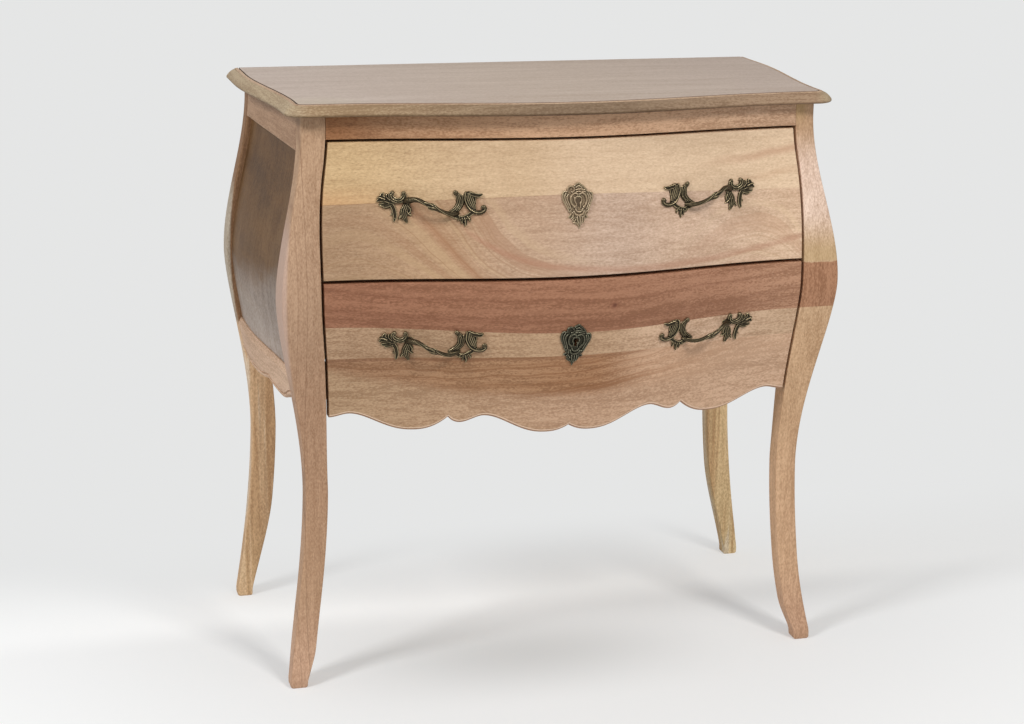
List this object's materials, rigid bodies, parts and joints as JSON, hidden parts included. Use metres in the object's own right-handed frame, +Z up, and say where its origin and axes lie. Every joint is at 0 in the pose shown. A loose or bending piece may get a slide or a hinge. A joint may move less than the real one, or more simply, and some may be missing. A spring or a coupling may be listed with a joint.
{
  "type": "chest of drawers",
  "caption": "Bombe chest of drawers with a bowed front, recessed side panels, splayed legs, a scalloped apron and cast openwork pulls.",
  "frame": {"origin": "on the floor, under the middle of the chest's overall width and depth", "axes": "+X across the chest towards its right side as seen from the front, +Y towards its back, +Z up"},
  "size_m": [0.9244, 0.487, 0.9],
  "materials": {
    "frame_wood": "bare sanded pinkish wood",
    "drawer_wood": "bare sanded wood in joined boards",
    "top_wood": "bare sanded greyish wood",
    "moulding_wood": "bare moulded olive-tan wood",
    "panel_board": "dark smooth bent board",
    "inner_wood": "plain sawn wood",
    "plywood": "thin plywood",
    "aged_brass": "dark antiqued cast brass",
    "lock_steel": "plain steel"
  },
  "bodies": {
    "case": {"back_bottom_rail": "inner_wood", "back_middle_rail": "inner_wood", "back_panel": "plywood", "back_top_rail": "inner_wood", "bottom_front_rail": "inner_wood", "drawer_divider_rail": "inner_wood", "front_left_post": "frame_wood", "front_right_post": "frame_wood", "front_top_rail": "frame_wood", "left_bottom_rail": "frame_wood", "left_kicker": "inner_wood", "left_side_panel": "panel_board", "left_top_rail": "frame_wood", "lower_left_runner": "inner_wood", "lower_right_runner": "inner_wood", "rear_left_post": "frame_wood", "rear_right_post": "frame_wood", "right_bottom_rail": "frame_wood", "right_kicker": "inner_wood", "right_side_panel": "panel_board", "right_top_rail": "frame_wood", "top_moulding_front": "moulding_wood", "top_moulding_left": "moulding_wood", "top_moulding_right": "moulding_wood", "top_panel": "top_wood", "upper_left_runner": "inner_wood", "upper_right_runner": "inner_wood"},
    "upper_drawer": {"upper_drawer_back": "inner_wood", "upper_drawer_bottom": "plywood", "upper_drawer_front": "drawer_wood", "upper_drawer_key_plate": "aged_brass", "upper_drawer_left_pull": "aged_brass", "upper_drawer_left_pull_inner_screw": "lock_steel", "upper_drawer_left_pull_outer_screw": "lock_steel", "upper_drawer_left_side": "inner_wood", "upper_drawer_right_pull": "aged_brass", "upper_drawer_right_pull_inner_screw": "lock_steel", "upper_drawer_right_pull_outer_screw": "lock_steel", "upper_drawer_right_side": "inner_wood"},
    "lower_drawer": {"lock_case": "lock_steel", "lower_drawer_back": "inner_wood", "lower_drawer_bottom": "plywood", "lower_drawer_front": "drawer_wood", "lower_drawer_key_plate": "aged_brass", "lower_drawer_left_pull": "aged_brass", "lower_drawer_left_pull_inner_screw": "lock_steel", "lower_drawer_left_pull_outer_screw": "lock_steel", "lower_drawer_left_side": "inner_wood", "lower_drawer_right_pull": "aged_brass", "lower_drawer_right_pull_inner_screw": "lock_steel", "lower_drawer_right_pull_outer_screw": "lock_steel", "lower_drawer_right_side": "inner_wood"},
    "lock_bolt": {"lock_bolt": "lock_steel"}
  },
  "joints": [
    {"name": "upper_drawer_slide", "type": "slide", "parent": "case", "child": "upper_drawer", "axis": [0, -1, 0], "range_m": [0, 0.28]},
    {"name": "lower_drawer_slide", "type": "slide", "parent": "case", "child": "lower_drawer", "axis": [0, -1, 0], "range_m": [0, 0.28]},
    {"name": "lock_bolt_slide", "type": "slide", "parent": "lower_drawer", "child": "lock_bolt", "axis": [0, 0, 1], "range_m": [0, 0.008]}
  ]
}
